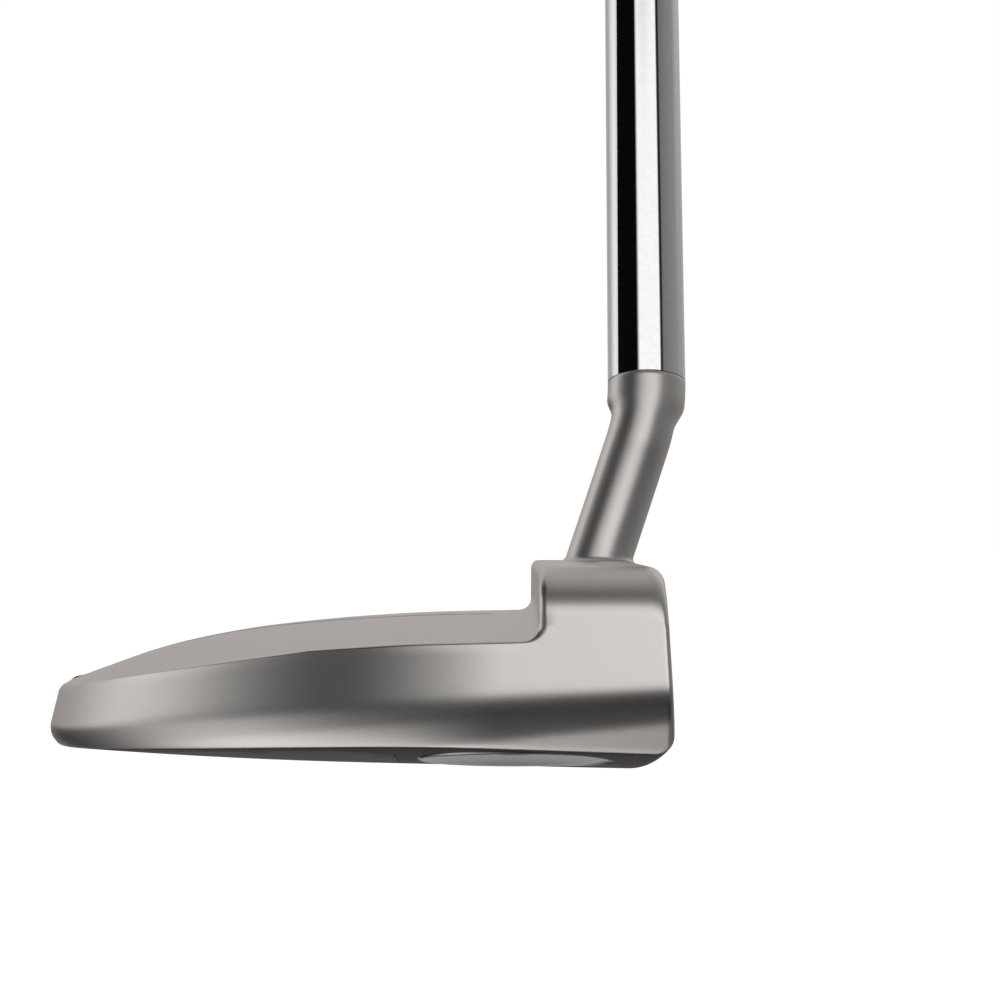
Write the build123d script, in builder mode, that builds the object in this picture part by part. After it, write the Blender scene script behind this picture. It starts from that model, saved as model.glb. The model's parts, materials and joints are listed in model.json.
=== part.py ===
from build123d import *
import os
from math import atan2, cos, degrees, radians, sin, tan

# A mallet putter in millimetres. +X is the way the face looks, +Y runs from toe to
# heel and +Z is up. The origin is on the flat of the sole, under the head's middle.

# Whole club
club_length = 864.0  # 34 in, along the shaft axis from the ground to the grip's end
lie_angle = 72.0
shaft_ground = (18.5, 22.7)  # where the shaft axis meets the ground

# Head outline at its widest line, a D made of two side arcs and a tail arc
half_length = 53.1
tail_reach = 52.1
side_radius = 51.5
side_x = 0.0
reach = 75.0  # longer than anything in the head
past = 5.0  # how far cutters start outside the surface that they cut

# Head walls
belt_height = 7.55  # the widest line, above the ground at X = 0
belt_rise = 0.078  # it climbs towards the face by this much per mm
upper_draft = 14.0
under_draft = 40.0
belt_round = 4.5

# Block behind the face
block_top = 22.75
top_tilt = 0.5
loft_angle = 3.0
face_reach = 18.3  # where the face plane meets the ground
block_rear = 4.0
leading_round = 5.0
top_front_round = 2.0
block_rear_round = 0.9
block_side_round = 6.6
flange_fillet = 1.7

# Sole: a cylinder along the head's depth, pitched up to the tail, cut flat at the ground
sole_radius = 282.5
sole_pitch = 1.3
sole_low_x = 12.0
sole_cut = 0.40

# Crown of the flange: X, height on the centre line, radius across
crown_sections = [
    (-56.0, 6.9, 300.0),
    (-46.0, 10.6, 300.0),
    (-40.0, 12.7, 300.0),
    (-30.0, 14.9, 400.0),
    (-20.0, 16.0, 680.0),
    (-10.0, 16.6, 870.0),
    (block_rear, 16.9, 1000.0),
]
bevel_start = (-49.3, 9.4)  # X and height of the tail bevel's upper edge
bevel_angle = 38.0

# Sight line: a groove along the crown, part filled with paint
line_half_width = 0.9
line_front = -1.0
groove_depth = 0.5
paint_depth = 0.35

# Sole plate and the hollow above it
plate_inset = 4.8
plate_front = -11.0
tongue_half = 23.0
tongue_front = 10.0
tongue_round = 6.0
plate_thickness = 2.0
film_thickness = 0.2
plate_gap = 0.08
ledge = 2.4
roof_thickness = 1.9
rear_wall = 2.4
block_roof = 19.4

# Plate screws, on bosses along the centre line
screw_x = (-40.0, -18.0)
screw_radius = 1.5
screw_head_radius = 2.9
screw_length = 7.5
boss_radius = 3.8
socket_width = 2.0
socket_depth = 1.2

# Sole weights
weight_x = 1.6
weight_y = 38.0
weight_tilt = 7.73
flange_radius = 10.3
flange_thickness = 2.6
shank_radius = 8.4
shank_length = 6.8
washer_thickness = 0.6
side_clearance = 0.05
dish_radius = 60.0
dish_reach = 9.4
key_width = 4.0
key_depth = 2.2

# Neck
neck_base = (12.2, 30.0, 22.4)
neck_radius = 4.0
spigot_length = 9.5
elbow_at = 42.7  # along the shaft axis
joint_at = 47.1
collar_radius = 4.9
collar_length = 2.9
collar_cone = 1.6
post_radius = 4.1
post_length = 22.0
bond_gap = 0.1

# Shaft: flared tip, parallel blade, then steps up to the butt
blade_radius = 4.7
flare_end = 137.0
butt_radius = 7.4
step_count = 12
first_step = 240.0
step_pitch = 31.8
step_ramp = 3.0
shaft_wall = 0.6
shaft_end = 858.0

# Grip
grip_start = 599.0
cap_thickness = 3.0
cap_round = 1.2
cap_plug = 8.0  # how far the cap reaches into the shaft
tape_thickness = 0.15
core_radius = 8.8
# distance along the shaft, half width, half depth, flat's distance, set back
grip_sections = [
    (grip_start, 10.3, 10.5, 9.7, 0.0),
    (640.0, 10.9, 11.3, 9.8, 0.0),
    (720.0, 12.0, 12.6, 10.2, 0.3),
    (800.0, 13.2, 14.2, 10.8, 0.9),
    (845.0, 13.6, 15.4, 11.2, 1.6),
    (club_length - cap_thickness, 13.3, 14.6, 11.0, 1.4),
]
grip_corner = 3.0
vent_radius = 1.5

lie = radians(lie_angle)
shaft_way = Vector(0, cos(lie), sin(lie))


def shaft_point(s):
    """The point on the shaft axis s above the ground."""
    return Vector(shaft_ground[0], shaft_ground[1], 0) + shaft_way * s


def shaft_plane(s):
    """Square to the shaft at s: x towards the target, y towards the golfer."""
    return Plane(shaft_point(s), x_dir=(1, 0, 0), z_dir=shaft_way)


def shaft_radius(s):
    """The shaft's outer radius at s."""
    if s < first_step:
        blend = min(1.0, max(0.0, (s - joint_at) / (flare_end - joint_at)))
        return collar_radius + (blade_radius - collar_radius) * blend
    steps = min(step_count, int((s - first_step) / step_pitch) + 1)
    return blade_radius + (butt_radius - blade_radius) * steps / step_count


def d_outline(inset, front):
    """The D outline in the current sketch, moved in all round by inset."""
    half = half_length - inset
    centre_y = half_length - side_radius
    lead = tail_reach + side_x
    tail_radius = (lead**2 + centre_y**2 - side_radius**2) / (2 * (lead - side_radius))
    tail_x = tail_radius - tail_reach
    turn = degrees(atan2(centre_y, tail_x - side_x))
    with BuildLine() as outline:
        Line((front, half), (side_x, half))
        CenterArc((side_x, centre_y), side_radius - inset, 90, 90 - turn)
        CenterArc((tail_x, 0), tail_radius - inset, 180 - turn, 2 * turn)
        CenterArc((side_x, -centre_y), side_radius - inset, 180 + turn, 90 - turn)
        Line((side_x, -half), (front, -half))
        Line((front, -half), (front, half))
    make_face(outline.edges())


def trimmed_d(inset, front):
    """The D outline cut off square at a front line that lies behind its side arcs' centres."""
    d_outline(inset, reach)
    with Locations((front, 0)):
        Rectangle(2 * reach, 3 * reach, align=(Align.MIN, Align.CENTER), mode=Mode.SUBTRACT)


def sleeve(plane, inner, outer, length):
    """A tube along a plane's normal, added to the current part."""
    with BuildSketch(plane) as ring:
        Circle(outer)
        Circle(inner, mode=Mode.SUBTRACT)
    extrude(ring.sketch, amount=length)


def sole_height(x, y):
    """The sole's height above the ground, before the flat is cut."""
    return (sole_low_x - x) * tan(radians(sole_pitch)) - sole_cut + y**2 / (2 * sole_radius)


def screw_sink(x):
    """The height of a plate screw's outer face."""
    return sole_height(x, 0) + 0.15


def weight_plane(side, depth=0.0):
    """Flush with the sole at a weight, normal out of the head, depth below the surface."""
    tilt_way = radians(weight_tilt)
    way = Vector(0, side * sin(tilt_way), -cos(tilt_way))
    centre = Vector(weight_x, side * weight_y, sole_height(weight_x, weight_y))
    return Plane(centre - way * depth, x_dir=(1, 0, 0), z_dir=way)


# --- Bodies that shape the head ---

# The drafted walls, up and down from the widest line
belt = Plane((0, 0, belt_height), x_dir=(1, 0, belt_rise), z_dir=(-belt_rise, 0, 1))
with BuildPart() as hull:
    with BuildSketch(belt):
        d_outline(0, reach)
    extrude(amount=30, taper=upper_draft)
    with BuildSketch(belt):
        d_outline(0, reach)
    extrude(amount=-12, taper=under_draft)
    on_belt = hull.edges().filter_by(lambda e: abs(belt.to_local_coords(e.center()).Z) < 0.01)
    fillet(on_belt.sort_by(Axis.X)[:-1], belt_round)

# The sole's cylinder, by how far inside the surface it lies
pitch = radians(sole_pitch)
sole_plane = Plane(
    (sole_low_x, 0, sole_radius - sole_cut),
    x_dir=(0, 1, 0),
    z_dir=(cos(pitch), 0, -sin(pitch)),
)


def sole_cylinder(depth, mode=Mode.ADD):
    """The space above the sole, or above a surface depth inside it."""
    with BuildSketch(sole_plane) as disc:
        Circle(sole_radius - depth)
    extrude(disc.sketch, amount=2 * reach, both=True, mode=mode)


# The face and the sole, before the walls trim them
with BuildPart() as slab:
    lean = tan(radians(loft_angle))
    low, high = -5.0, 40.0
    with BuildSketch(Plane.XZ):
        with BuildLine():
            Polyline(
                (-reach, low),
                (face_reach - low * lean, low),
                (face_reach - high * lean, high),
                (-reach, high),
                close=True,
            )
        make_face()
    extrude(amount=reach, both=True)
    sole_cylinder(0, Mode.INTERSECT)
    fillet(slab.edges().filter_by(GeomType.ELLIPSE).sort_by(Axis.X)[-1], leading_round)
    split(bisect_by=Plane.XY, keep=Keep.TOP)

# What is taken off above the crown and the tail bevel, behind the block
with BuildPart() as open_top:
    for x, height, radius in crown_sections:
        sag = radius - (radius**2 - reach**2) ** 0.5
        with BuildSketch(Plane((x, 0, 0), x_dir=(0, 1, 0), z_dir=(1, 0, 0))):
            with BuildLine():
                ThreePointArc((-reach, height - sag), (0, height), (reach, height - sag))
                Polyline(
                    (reach, height - sag), (reach, reach), (-reach, reach), (-reach, height - sag)
                )
            make_face()
    loft()
with BuildPart() as crown_cut:
    add(open_top.part)
    lower_edge = crown_cut.edges().group_by(Axis.X)[-1].sort_by(Axis.Z)[0]
    fillet(lower_edge, flange_fillet)
    with BuildSketch(Plane.XZ):
        with BuildLine():
            bevel_drop = (reach + bevel_start[0]) * tan(radians(bevel_angle))
            Polyline(
                bevel_start,
                (-reach, bevel_start[1] - bevel_drop),
                (-reach, bevel_start[1] + bevel_drop),
                close=True,
            )
        make_face()
    extrude(amount=reach, both=True)


def along_sight_line(depth, mode):
    """The crown's cut lowered by depth, within the sight line's width."""
    with Locations((0, 0, -depth)):
        add(crown_cut.part, mode=mode)


# --- Head ---

tilt = radians(top_tilt)
top_line = Plane((0, 0, block_top), x_dir=(1, 0, 0), z_dir=(0, sin(tilt), cos(tilt)))
recess_depth = plate_thickness + film_thickness


def tongue(half, front):
    """The sole plate's narrow part between the weights."""
    with Locations((front, 0)):
        Rectangle(front - plate_front + 5, 2 * half, align=(Align.MAX, Align.CENTER))


def plate_prism(gap, mode=Mode.ADD):
    """A tall block of the sole plate's outline, grown by gap."""
    with BuildSketch(Plane.XY.offset(-past)) as shape:
        trimmed_d(plate_inset - gap, plate_front + gap)
        tongue(tongue_half + gap, tongue_front + gap)
        corners = shape.vertices().filter_by_position(Axis.X, plate_front - 1, reach)
        fillet(corners.filter_by_position(Axis.Y, -tongue_half - 1, tongue_half + 1), tongue_round)
    extrude(shape.sketch, amount=25, mode=mode)


with BuildPart() as above_recess:
    sole_cylinder(recess_depth)
with BuildPart() as above_plate:
    sole_cylinder(plate_thickness)

with BuildPart() as hollow:
    with BuildSketch(Plane.XY.offset(-past)):
        trimmed_d(plate_inset + ledge, plate_front - ledge)
        tongue(tongue_half - ledge, tongue_front - ledge)
    extrude(amount=block_roof + past)
    with Locations((rear_wall, 0, -roof_thickness)):
        add(open_top.part, mode=Mode.SUBTRACT)
    with BuildSketch(Plane.XY.offset(-past)):
        with Locations(*[(x, 0) for x in screw_x]):
            Circle(boss_radius)
    extrude(amount=40, mode=Mode.SUBTRACT)

# Everything below the seat of the sole plate, within its outline
with BuildPart() as sole_recess:
    plate_prism(plate_gap)
    add(above_recess.part, mode=Mode.SUBTRACT)

with BuildPart() as sight_groove:
    Box(2 * reach, 2 * line_half_width, 2 * reach)
    split(bisect_by=Plane((line_front, 0, 0), z_dir=(1, 0, 0)), keep=Keep.BOTTOM)
    along_sight_line(groove_depth, Mode.INTERSECT)

neck_axis = (shaft_point(elbow_at) - Vector(neck_base)).normalized()
neck_plane = Plane(neck_base, x_dir=(1, 0, -neck_axis.X / neck_axis.Z), z_dir=neck_axis)

with BuildPart() as head_body:
    add(hull.part)
    add(slab.part, mode=Mode.INTERSECT)
    split(bisect_by=top_line, keep=Keep.BOTTOM)
    on_top = head_body.edges().filter_by(lambda e: abs(top_line.to_local_coords(e.center()).Z) < 1)
    fillet([e for e in on_top if abs(e.center().Y) > 40], block_side_round)
    add(crown_cut.part, mode=Mode.SUBTRACT)
    on_top = head_body.edges().filter_by(lambda e: abs(top_line.to_local_coords(e.center()).Z) < 1)
    across = [e for e in on_top.sort_by(Axis.X) if abs(e.tangent_at(0.5).Y) > 0.9]
    fillet(across[-1], top_front_round)
    fillet(across[0], block_rear_round)
    add(hollow.part, mode=Mode.SUBTRACT)
    add(sole_recess.part, mode=Mode.SUBTRACT)
    add(sight_groove.part, mode=Mode.SUBTRACT)
    for side in (-1, 1):
        with BuildSketch(weight_plane(side, -past)):
            Circle(flange_radius + side_clearance)
        extrude(amount=-past - flange_thickness - washer_thickness, mode=Mode.SUBTRACT)
        with BuildSketch(weight_plane(side, -past)):
            Circle(shank_radius + side_clearance)
        bore_depth = flange_thickness + washer_thickness + shank_length
        extrude(amount=-past - bore_depth, mode=Mode.SUBTRACT)
    with BuildSketch(neck_plane.offset(-spigot_length)):
        Circle(neck_radius + bond_gap)
    extrude(amount=spigot_length + past, mode=Mode.SUBTRACT)
    for x in screw_x:
        with BuildSketch(Plane((x, 0, -past))):
            Circle(screw_radius)
        extrude(amount=past + screw_length + 1.0, mode=Mode.SUBTRACT)

with BuildPart() as sight_line_paint:
    add(sight_groove.part)
    add(hull.part, mode=Mode.INTERSECT)
    with Locations((0, 0, paint_depth - groove_depth)):
        add(crown_cut.part, mode=Mode.SUBTRACT)


# --- Sole plate ---

with BuildPart() as sole_plate:
    plate_prism(0)
    add(slab.part, mode=Mode.INTERSECT)
    add(above_plate.part, mode=Mode.SUBTRACT)
    for x in screw_x:
        with BuildSketch(Plane.XY.offset(-past)):
            with Locations((x, 0)):
                Circle(screw_radius + bond_gap)
        extrude(amount=20, mode=Mode.SUBTRACT)
        with Locations(Plane((x, 0, screw_sink(x)), x_dir=(1, 0, 0), z_dir=(0, 0, 1))):
            Cone(
                screw_head_radius + bond_gap,
                screw_radius + bond_gap,
                screw_head_radius - screw_radius,
                align=(Align.CENTER, Align.CENTER, Align.MIN),
                mode=Mode.SUBTRACT,
            )
            Cylinder(
                screw_head_radius + bond_gap,
                2.0,
                align=(Align.CENTER, Align.CENTER, Align.MAX),
                mode=Mode.SUBTRACT,
            )

with BuildPart() as sole_plate_bond:
    plate_prism(0)
    add(above_plate.part, mode=Mode.INTERSECT)
    add(above_recess.part, mode=Mode.SUBTRACT)
    add(hollow.part, mode=Mode.SUBTRACT)
    with BuildSketch(Plane.XY.offset(-past)):
        with Locations(*[(x, 0) for x in screw_x]):
            Circle(screw_radius + 2 * bond_gap)
    extrude(amount=20, mode=Mode.SUBTRACT)

with BuildPart() as sole_plate_screws:
    for x in screw_x:
        with Locations(Plane((x, 0, screw_sink(x)), x_dir=(1, 0, 0), z_dir=(0, 0, 1))):
            Cone(
                screw_head_radius,
                screw_radius,
                screw_head_radius - screw_radius,
                align=(Align.CENTER, Align.CENTER, Align.MIN),
            )
            Cylinder(screw_radius, screw_length, align=(Align.CENTER, Align.CENTER, Align.MIN))
        with BuildSketch(Plane((x, 0, screw_sink(x)))):
            RegularPolygon(socket_width / 2, 6, major_radius=False)
        extrude(amount=socket_depth, mode=Mode.SUBTRACT)

# --- Sole weights, each a flanged plug over a washer ---

weights = {}
washers = {}
for name, side in (("toe", -1), ("heel", 1)):
    face = weight_plane(side)
    with BuildPart() as weight:
        with BuildSketch(face):
            Circle(flange_radius)
        extrude(amount=-flange_thickness)
        with BuildSketch(face):
            Circle(shank_radius)
        extrude(amount=-flange_thickness - washer_thickness - shank_length + 0.2)
        dish_sag = dish_radius - (dish_radius**2 - dish_reach**2) ** 0.5
        with Locations(face.offset(dish_radius - dish_sag)):
            Sphere(dish_radius, mode=Mode.SUBTRACT)
        with BuildSketch(face):
            RegularPolygon(key_width / 2, 6, major_radius=False)
        extrude(amount=-key_depth - dish_sag, mode=Mode.SUBTRACT)
    weights[name] = weight
    with BuildPart() as washer:
        sleeve(
            face.offset(-flange_thickness - washer_thickness),
            shank_radius + side_clearance,
            flange_radius - side_clearance,
            washer_thickness - 0.02,
        )
    washers[name] = washer

# --- Neck ---

spigot_end = neck_plane.offset(-spigot_length)
with BuildPart() as slant_neck:
    with BuildSketch(spigot_end):
        Circle(neck_radius)
    run = (shaft_point(elbow_at) - Vector(neck_base)).length
    extrude(amount=spigot_length + run)
    with Locations(shaft_point(elbow_at)):
        Sphere(neck_radius)
    with BuildSketch(shaft_plane(elbow_at)):
        Circle(neck_radius)
    extrude(amount=joint_at - elbow_at)
    with BuildSketch(shaft_plane(joint_at - collar_length)):
        Circle(collar_radius)
    extrude(amount=collar_length)
    with BuildSketch(shaft_plane(joint_at - collar_length - collar_cone)):
        Circle(neck_radius - 0.2)
    with BuildSketch(shaft_plane(joint_at - collar_length)):
        Circle(collar_radius)
    loft()
    with BuildSketch(shaft_plane(joint_at)):
        Circle(post_radius)
    extrude(amount=post_length)

with BuildPart() as neck_bond:
    sleeve(spigot_end, neck_radius, neck_radius + bond_gap, spigot_length - 1.5)

with BuildPart() as shaft_bond:
    sleeve(shaft_plane(joint_at), post_radius, post_radius + bond_gap, post_length)

# --- Shaft ---

with BuildPart() as shaft:
    outer = [(shaft_radius(joint_at), joint_at), (shaft_radius(flare_end), flare_end)]
    for i in range(step_count):
        start = first_step + i * step_pitch
        outer += [(shaft_radius(start - 1), start - step_ramp), (shaft_radius(start), start)]
    outer.append((butt_radius, shaft_end))
    bore = [(r - shaft_wall, s) for r, s in reversed(outer) if s > joint_at]
    bond_top = joint_at + post_length
    bore += [(blade_radius - shaft_wall, bond_top + 2), (post_radius + bond_gap, bond_top)]
    bore.append((post_radius + bond_gap, joint_at))
    side_plane = Plane(shaft_point(0), x_dir=(1, 0, 0), z_dir=(0, -shaft_way.Z, shaft_way.Y))
    with BuildSketch(side_plane):
        with BuildLine():
            Polyline(*outer, *bore, close=True)
        make_face()
    revolve(axis=Axis(shaft_point(0), shaft_way))

# --- Grip ---

tape_start = grip_start + 2.0
tape_radius = butt_radius + tape_thickness
with BuildPart() as grip_tape:
    sleeve(shaft_plane(tape_start), butt_radius, tape_radius, shaft_end - 1 - tape_start)

with BuildPart() as grip_core:
    sleeve(shaft_plane(tape_start), tape_radius, core_radius, shaft_end - 1 - tape_start)


def grip_outline(half_width, half_depth, flat, back):
    """An oval with a flat along the side away from the golfer."""
    with Locations((0, back)):
        Ellipse(half_width, half_depth)
    with Locations((0, -flat)):
        Rectangle(4 * half_width, 4 * half_depth, align=(Align.CENTER, Align.MAX), mode=Mode.SUBTRACT)


with BuildPart() as grip_skin:
    for s, *shape in grip_sections:
        with BuildSketch(shaft_plane(s)) as outline:
            grip_outline(*shape)
            fillet(outline.vertices().sort_by(Axis.Y)[:2], grip_corner)
    loft()
    grip_end = club_length - cap_thickness
    with BuildSketch(shaft_plane(grip_start - 1)):
        Circle(butt_radius + 0.1)
    extrude(amount=grip_end - grip_start + 2, mode=Mode.SUBTRACT)
    with BuildSketch(shaft_plane(tape_start)):
        Circle(core_radius)
    extrude(amount=shaft_end - 1 - tape_start, mode=Mode.SUBTRACT)

with BuildPart() as grip_cap:
    with BuildSketch(shaft_plane(grip_end)) as rim:
        grip_outline(*grip_sections[-1][1:])
        fillet(rim.vertices().sort_by(Axis.Y)[:2], grip_corner)
    extrude(amount=cap_thickness)
    fillet(grip_cap.edges().sort_by(Axis(shaft_point(0), shaft_way))[-4:], cap_round)
    with BuildSketch(shaft_plane(grip_end)):
        Circle(butt_radius - shaft_wall - 0.1)
    extrude(amount=-cap_plug)
    with BuildSketch(shaft_plane(grip_end - cap_plug - past)):
        Circle(vent_radius)
    extrude(amount=4 * past, mode=Mode.SUBTRACT)

pieces = {
    "head_body": head_body,
    "sight_line_paint": sight_line_paint,
    "sole_plate": sole_plate,
    "sole_plate_bond": sole_plate_bond,
    "sole_plate_screws": sole_plate_screws,
    "toe_weight": weights["toe"],
    "heel_weight": weights["heel"],
    "toe_weight_washer": washers["toe"],
    "heel_weight_washer": washers["heel"],
    "slant_neck": slant_neck,
    "neck_bond": neck_bond,
    "shaft_bond": shaft_bond,
    "shaft": shaft,
    "grip_tape": grip_tape,
    "grip_core": grip_core,
    "grip_skin": grip_skin,
    "grip_cap": grip_cap,
}
os.makedirs("parts", exist_ok=True)
for name, piece in pieces.items():
    piece.part.label = name
    export_step(piece.part, f"parts/{name}.step")
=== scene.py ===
"""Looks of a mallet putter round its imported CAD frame. Lengths are in millimetres until a mesh is made."""
import functools
import json
import math

import bmesh
import bpy
import numpy as np
from mathutils import Matrix, Vector


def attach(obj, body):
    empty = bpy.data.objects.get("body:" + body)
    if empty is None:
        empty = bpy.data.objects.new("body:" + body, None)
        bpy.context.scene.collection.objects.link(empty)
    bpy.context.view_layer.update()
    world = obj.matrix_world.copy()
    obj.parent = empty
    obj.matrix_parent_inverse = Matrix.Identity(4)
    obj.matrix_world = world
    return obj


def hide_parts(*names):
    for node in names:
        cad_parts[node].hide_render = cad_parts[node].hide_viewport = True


MM = 0.001
MERGE = 0.003  # points of one mesh that are closer than this become one point
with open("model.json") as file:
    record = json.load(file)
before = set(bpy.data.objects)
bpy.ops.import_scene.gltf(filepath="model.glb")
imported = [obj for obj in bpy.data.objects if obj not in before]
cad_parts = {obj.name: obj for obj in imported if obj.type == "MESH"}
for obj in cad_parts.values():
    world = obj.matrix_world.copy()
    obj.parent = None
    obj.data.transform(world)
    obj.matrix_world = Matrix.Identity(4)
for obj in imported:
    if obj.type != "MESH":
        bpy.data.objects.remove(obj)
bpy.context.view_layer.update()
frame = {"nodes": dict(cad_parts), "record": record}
nodes = frame["nodes"]


# ---------------------------------------------------------------- shader helpers


def put(tree, socket, value):
    """Links value to the socket if it is an output, or else sets it as the socket's own value."""
    if isinstance(value, bpy.types.NodeSocket):
        tree.links.new(value, socket)
    else:
        socket.default_value = value


def node(tree, kind, inputs=None, **settings):
    made = tree.nodes.new(kind)
    for key, value in settings.items():
        setattr(made, key, value)
    for key, value in (inputs or {}).items():
        put(tree, made.inputs[key], value)
    return made


def maths(tree, operation, *values):
    return node(tree, "ShaderNodeMath", dict(enumerate(values)), operation=operation).outputs[0]


def span(tree, value, low, high, to_low=0.0, to_high=1.0, smooth=True):
    """value mapped from low..high to to_low..to_high and held at the ends."""
    made = node(
        tree,
        "ShaderNodeMapRange",
        {0: value, 1: low, 2: high, 3: to_low, 4: to_high},
        interpolation_type="SMOOTHSTEP" if smooth else "LINEAR",
    )
    return made.outputs[0]


def ramp(tree, factor, stops):
    """A grey colour ramp through (place 0..1, brightness) stops."""
    made = node(tree, "ShaderNodeValToRGB", {0: factor})
    points = made.color_ramp.elements
    while len(points) < len(stops):
        points.new(0.5)
    for point, (place, value) in zip(points, stops):
        point.position = place
        point.color = (value, value, value, 1)
    return made.outputs[0]


def stretched(tree, scale, turn=(0, 0, 0)):
    """Object coordinates turned and scaled by axis, which makes a grain of a noise."""
    where = node(tree, "ShaderNodeTexCoord").outputs["Object"]
    return node(
        tree, "ShaderNodeMapping", {"Vector": where, "Scale": scale, "Rotation": turn}
    ).outputs[0]


def noise(tree, vector, scale=1.0, detail=2.0, roughness=0.5):
    return node(
        tree,
        "ShaderNodeTexNoise",
        {"Vector": vector, "Scale": scale, "Detail": detail, "Roughness": roughness},
    ).outputs[0]


def even(value):
    """The same value on all three axes, or in all three colours."""
    return (value,) * 3


def weighted(tree, first, share, second):
    """That share of first, and the rest from second."""
    parts = maths(tree, "MULTIPLY", first, share), maths(tree, "MULTIPLY", second, 1 - share)
    return maths(tree, "ADD", *parts)


def surface(tree, shader, colour, roughness, height, depth):
    """Links the shader's colour and roughness, and a bump that is depth metres deep where height is 1."""
    bump = node(tree, "ShaderNodeBump", {"Height": height, "Distance": depth, "Strength": 1.0})
    for name, value in (("Base Color", colour), ("Roughness", roughness), ("Normal", bump.outputs[0])):
        put(tree, shader.inputs[name], value)


def tint(tree, factor, dark, light):
    """A colour between dark and light."""
    made = node(tree, "ShaderNodeMix", {"Factor": factor}, data_type="RGBA")
    made.inputs[6].default_value = (*dark, 1)
    made.inputs[7].default_value = (*light, 1)
    return made.outputs[2]


def material(name, **constants):
    """A new material, its tree and its shader, with the shader's own values set."""
    made = bpy.data.materials.new(name)
    made.use_nodes = True
    shader = made.node_tree.nodes["Principled BSDF"]
    for key, value in constants.items():
        shader.inputs[key.replace("_", " ")].default_value = value
    return made, made.node_tree, shader


# ---------------------------------------------------------------- mesh helpers


def joined(name, patches, materials, sharp=50, place=None):
    """One closed mesh from (grid of points in mm, material number) patches; points that touch are merged."""
    grid = bmesh.new()
    for points, number in patches:
        rows = [[grid.verts.new(p * MM) for p in row] for row in points]
        for a, b in zip(rows, rows[1:]):
            for i in range(len(a) - 1):
                grid.faces.new((a[i], a[i + 1], b[i + 1], b[i])).material_index = number
    bmesh.ops.remove_doubles(grid, verts=grid.verts, dist=MERGE * MM)
    return finished(name, grid, materials, sharp, place)


def finished(name, grid, materials, sharp=50, place=None):
    """An object from a bmesh, smooth between its sharp edges."""
    bmesh.ops.recalc_face_normals(grid, faces=grid.faces)
    mesh = bpy.data.meshes.new(name)
    grid.to_mesh(mesh)
    grid.free()
    for each in materials:
        mesh.materials.append(each)
    mesh.shade_smooth()
    mesh.set_sharp_from_angle(angle=math.radians(sharp))
    made = bpy.data.objects.new(name, mesh)
    if place is not None:
        made.matrix_world = place
    bpy.context.scene.collection.objects.link(made)
    return made


def cut(target, *tools, sharp=40):
    """Takes the tools out of target, for good."""
    for tool in tools:
        step = target.modifiers.new("cut", "BOOLEAN")
        step.operation, step.solver, step.object = "DIFFERENCE", "EXACT", tool
    bpy.context.view_layer.update()
    mesh = bpy.data.meshes.new_from_object(target.evaluated_get(bpy.context.evaluated_depsgraph_get()))
    target.modifiers.clear()
    target.data = mesh
    mesh.set_sharp_from_angle(angle=math.radians(sharp))
    for tool in tools:
        bpy.data.objects.remove(tool)


def turned(profile, segments=96, axis_point=(0, 0, 0), axis=(0, 0, 1)):
    """A patch turned round an axis square to x, from (radius, distance along the axis) pairs."""
    z = np.array(axis, float)
    x = np.array([1.0, 0, 0])
    y = np.cross(z, x)
    turn = np.linspace(0, 2 * math.pi, segments + 1)[:, None]
    round_it = np.cos(turn) * x + np.sin(turn) * y
    round_it[-1] = round_it[0]
    return np.array([np.array(axis_point) + r * round_it + h * z for r, h in profile])


def stands_for(made, body, slot_name, *replaced):
    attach(made, body)
    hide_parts(*replaced)


# ---------------------------------------------------------------- materials


GRAIN_LOW, GRAIN_HIGH = 0.3, 0.7  # most of a noise's values lie between these


def grained_metal(name, dark, light, grain, turn=(0, 0, 0), rough=(0.2, 0.3), depth=2e-6, **constants):
    """Metal with a fine grain, in cycles per metre along each axis, and a bump depth metres high."""
    made, tree, shader = material(name, Metallic=1.0, **constants)
    fine = noise(tree, stretched(tree, grain, turn), detail=3.0, roughness=0.6)
    broad = noise(tree, stretched(tree, even(35)), detail=3.0)
    mixed = weighted(tree, fine, 0.7, broad)
    colour = tint(tree, span(tree, mixed, GRAIN_LOW, GRAIN_HIGH), dark, light)
    surface(tree, shader, colour, span(tree, mixed, GRAIN_LOW, GRAIN_HIGH, *rough, smooth=False), fine, depth)
    return made


def plain_coat(name, dark, light, grain, rough=(0.4, 0.6)):
    """Paint, rubber, plastic or glue with a fine uneven surface, grain cycles per metre."""
    made, tree, shader = material(name)
    fine = noise(tree, stretched(tree, even(grain)), detail=4.0, roughness=0.6)
    colour = tint(tree, span(tree, fine, GRAIN_LOW, GRAIN_HIGH), dark, light)
    surface(tree, shader, colour, span(tree, fine, GRAIN_LOW, GRAIN_HIGH, *rough, smooth=False), fine, 1e-5)
    return made


def pebbled(name, dark, light, pebble, rough, depth):
    """Soft polymer moulded with a fine pebble grain, pebble metres across."""
    made, tree, shader = material(name, Sheen_Weight=0.12, Sheen_Roughness=0.5)
    where = stretched(tree, even(1 / pebble))
    cells = node(tree, "ShaderNodeTexVoronoi", {"Vector": where, "Randomness": 0.85}, feature="SMOOTH_F1")
    domes = span(tree, cells.outputs["Distance"], 0.15, 0.62, 1.0, 0.0)
    fine = noise(tree, stretched(tree, even(5 / pebble)), detail=3.0, roughness=0.6)
    worn = noise(tree, stretched(tree, even(25)), detail=3.0)
    mixed = weighted(tree, domes, 0.6, worn)
    roughness = span(tree, mixed, 0.1, 0.9, rough[1], rough[0], smooth=False)
    surface(tree, shader, tint(tree, mixed, dark, light), roughness, weighted(tree, domes, 0.85, fine), depth)
    return made


def lines_of(tree, value, pitch):
    """A 0..1 ridge pattern across value, one ridge each pitch metres."""
    wave = maths(tree, "SINE", maths(tree, "MULTIPLY", value, 2 * math.pi / pitch))
    return span(tree, wave, -1, 1, smooth=False)


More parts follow.
